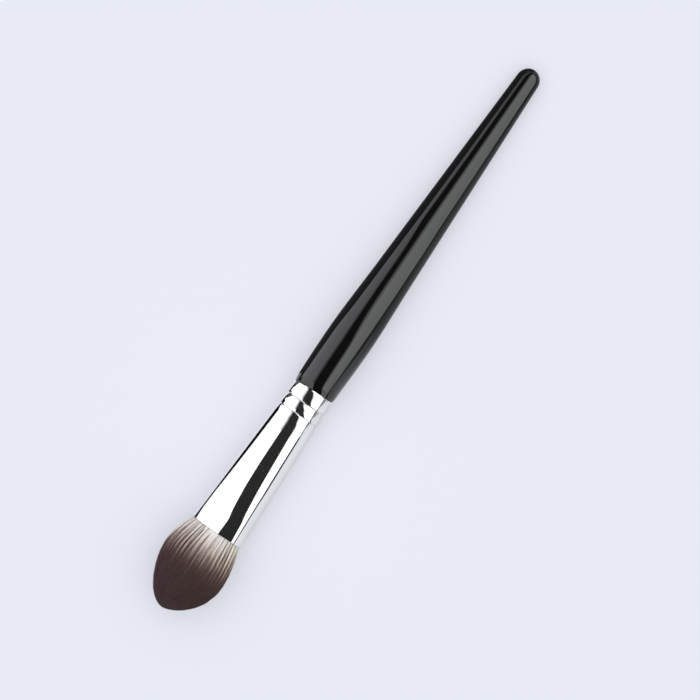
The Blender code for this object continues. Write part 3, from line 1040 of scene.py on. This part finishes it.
black = glow("black_card", WHITE, 0.005, 0.005)
lacquer_left = glow("lacquer_left_glow", (1.0, 0.98, 1.05), 1.45, 1.85, soft=0.2, dimmest=0.5)
lacquer_right = glow("lacquer_right_glow", (0.98, 1.0, 1.0), 2.4, 1.8, soft=0.25)
lacquer_line = glow("lacquer_line", WHITE, 0.19, 0.34)
metal_glow = glow("metal_glow", WHITE, 1.5, 1.5)
metal_card = glow("metal_card", WHITE, 1.12, 1.12)
metal_strip = glow("metal_strip", WHITE, 0.022, 0.022)
metal_far = glow("metal_far_glow", WHITE, 0.6, 0.6)
dim = glow("dim_card", (1.0, 1.0, 1.1), 0.10, 0.10)
grey = glow("grey_card", TABLE_COLOUR, 1.0, 1.0, dimmest=0.5, fade=0.88)

tent("handle", HANDLE_STATIONS, lacquer_left, lacquer_right, lacquer_line)
tent("ferrule", FERRULE_STATIONS, metal_glow, metal_glow, black)
handle_places, handle_edge = np.array(HANDLE_STATIONS).T[:2]
lowest = np.full_like(handle_edge, LOWEST_BEARING)
panel("under_left_of_handle", handle_places, handle_edge, lowest, dim)
panel("dark_beyond_handle", (-1.5, -0.450), (-112, -112), (112, 112), black)
tent("space_beyond_hair", BEYOND_STATIONS, metal_far, metal_far, black)

# %% [markdown]
# ## Cards on the table
# Low on their flanks both finishes mirror the table. On the left white cards lie there, and the
# darker cards under them show along their near edge: a black one draws the thin line near the
# edge of the metal, and a dim one keeps the edge of the lacquer dark. On the right a grey card
# lies beside the handle and a black one ends its bright band, and two pale cards grade the edge
# of the metal: they glow dimmer close to the brush, a painted shadow of the brush on the table
# that the metal mirrors. Close under the ferrule narrow shade cards stand in for the shadow
# there, which a picture from the side would show.

# %% Sizes of the cards
CARD_HEIGHT = 0.0004
UNDER_CARD = CARD_HEIGHT / 2
BETWEEN_CARD = CARD_HEIGHT * 0.75
LINE_START = -0.0213
# Rows of a card: metres from the seam towards the hair, then across to its near and far edge.
HANDLE_CARD = (
    (-0.0145, -0.096, -0.120),
    (-0.007, -0.066, -0.120),
    (-0.002, -0.056, -0.120),
    (0.0005, -0.038, -0.120),
    (0.0045, -0.036, -0.120),
)
FERRULE_CARD = (
    (0.0045, -0.080, -0.120),
    (0.0145, -0.060, -0.120),
    (0.024, -0.047, -0.120),
    (0.038, -0.031, -0.120),
    (0.044, -0.030, -0.120),
    (0.048, -0.038, -0.120),
    (0.150, -0.040, -0.120),
)
DIM_CARD = ((-0.160, 0.0, -0.110), (-0.001, 0.0, -0.110))
GREY_CARD = ((-0.160, 0.0, 0.110), (-0.0035, 0.0, 0.110))
LINE_CARD = ((-0.001, LINE_START, -0.110), (0.150, LINE_START, -0.110))
SHADE_CARD = (
    (-0.001, 0.0, 0.0055),
    (0.012, 0.0, 0.0058),
    (0.047, 0.0, 0.0073),
    (0.075, 0.0, 0.0090),
)
RIM_NEAR_CARD = ((-0.001, 0.0075, 0.030), (0.075, 0.0090, 0.030))
RIM_FAR_CARD = ((-0.001, 0.030, 0.200), (0.075, 0.030, 0.200))
RIGHT_CARD = (
    (-0.300, 0.026, 0.110),
    (-0.107, 0.028, 0.110),
    (-0.101, 0.031, 0.110),
    (-0.092, 0.052, 0.110),
    (-0.087, 0.108, 0.110),
)
print("cards measured out")

# %% [markdown]
# ## Laying the cards
# The cards lie flat, less than half a millimetre over the table. Where two overlap, the lower one
# shows only past the edge of the upper one. The two shade cards are one shape and its mirror
# image on either side of the brush.

# %% Lay the cards


def table_card(name, rows, look, height):
    """A flat card on the table between two lines."""
    places, near, far = np.array(rows).T

    def shape(along, across):
        place = places[0] + along * (places[-1] - places[0])
        start = np.interp(place, places, near)
        out = start + across * (np.interp(place, places, far) - start)
        return (seam.x + place, out, height)

    card(name, 1, shape, look)


card_glow = glow("card_glow", (1.0, 0.98, 1.05), 1.5, 1.5)
shade = glow("shade_card", TABLE_COLOUR, 0.06, 0.75)
# Painted shadow: the rim cards glow dimmer close to the brush, where its shadow on the table would
# be.
rim_near = glow("rim_near_card", (1.0, 1.005, 1.055), 0.63, 0.81)
rim_far = glow("rim_far_card", (1.0, 1.005, 1.055), 0.81, 0.93)
table_card("handle_white_card", HANDLE_CARD, card_glow, CARD_HEIGHT)
table_card("ferrule_white_card", FERRULE_CARD, metal_card, CARD_HEIGHT)
table_card("handle_dim_card", DIM_CARD, dim, UNDER_CARD)
table_card("ferrule_line_card", LINE_CARD, black, UNDER_CARD)
table_card("handle_right_card", RIGHT_CARD, black, CARD_HEIGHT)
table_card("handle_grey_card", GREY_CARD, grey, UNDER_CARD)
table_card("rim_near_card", RIM_NEAR_CARD, rim_near, UNDER_CARD)
table_card("rim_far_card", RIM_FAR_CARD, rim_far, UNDER_CARD)
table_card("left_shade_card", np.array(SHADE_CARD) * (1, 1, -1), shade, BETWEEN_CARD)
table_card("right_shade_card", SHADE_CARD, shade, BETWEEN_CARD)
print("cards laid")

# %% [markdown]
# ## Hidden pieces
# The resin plug, the tying thread and the adhesive sit inside the ferrule. They are never seen
# from outside, but whoever takes the brush apart finds them, so they get finishes too.

# %% Finishes of the hidden pieces


def make_resin(name, pale, deep, roughness):
    """Cast resin or adhesive with clouds of a deeper tone and small dimples."""
    look, tree, shader = finish(name, roughness)
    place = brush_space(tree)
    tone = ramp(tree, noise(tree, place, 500.0, 3.0), ((0.35, pale), (0.65, deep)))
    tree.links.new(tone, shader.inputs["Base Color"])
    relief(tree, shader, noise(tree, place, 2500.0), 0.00002)
    return look


def make_waxed_thread():
    """Thread with a fine twist and traces of wax."""
    look, tree, shader = finish("twisted_thread", 0.8)
    place = brush_space(tree)
    twist = tree.nodes.new("ShaderNodeTexWave")
    twist.inputs["Scale"].default_value = 900.0
    twist.bands_direction = "DIAGONAL"
    tree.links.new(place, twist.inputs["Vector"])
    tone = ramp(tree, twist.outputs["Fac"], ((0.2, (0.55, 0.50, 0.42)), (0.8, (0.78, 0.74, 0.66))))
    tree.links.new(tone, shader.inputs["Base Color"])
    tree.links.new(spread(tree, noise(tree, place, 1500.0), 0.5, 0.9), shader.inputs["Roughness"])
    relief(tree, shader, twist.outputs["Fac"], 0.00003)
    return look


HIDDEN = {
    "glue_plug": make_resin("cast_resin", (0.60, 0.44, 0.24), (0.48, 0.33, 0.16), 0.35),
    "handle_glue": make_resin("set_adhesive", (0.84, 0.80, 0.70), (0.72, 0.67, 0.55), 0.3),
    "tuft_tie": make_waxed_thread(),
}
for name, look in HIDDEN.items():
    node = frame["nodes"][name]
    node.material_slots[0].material = look
    print(f"{name}: {look.name}")

# %% Finish
print("scene set up")
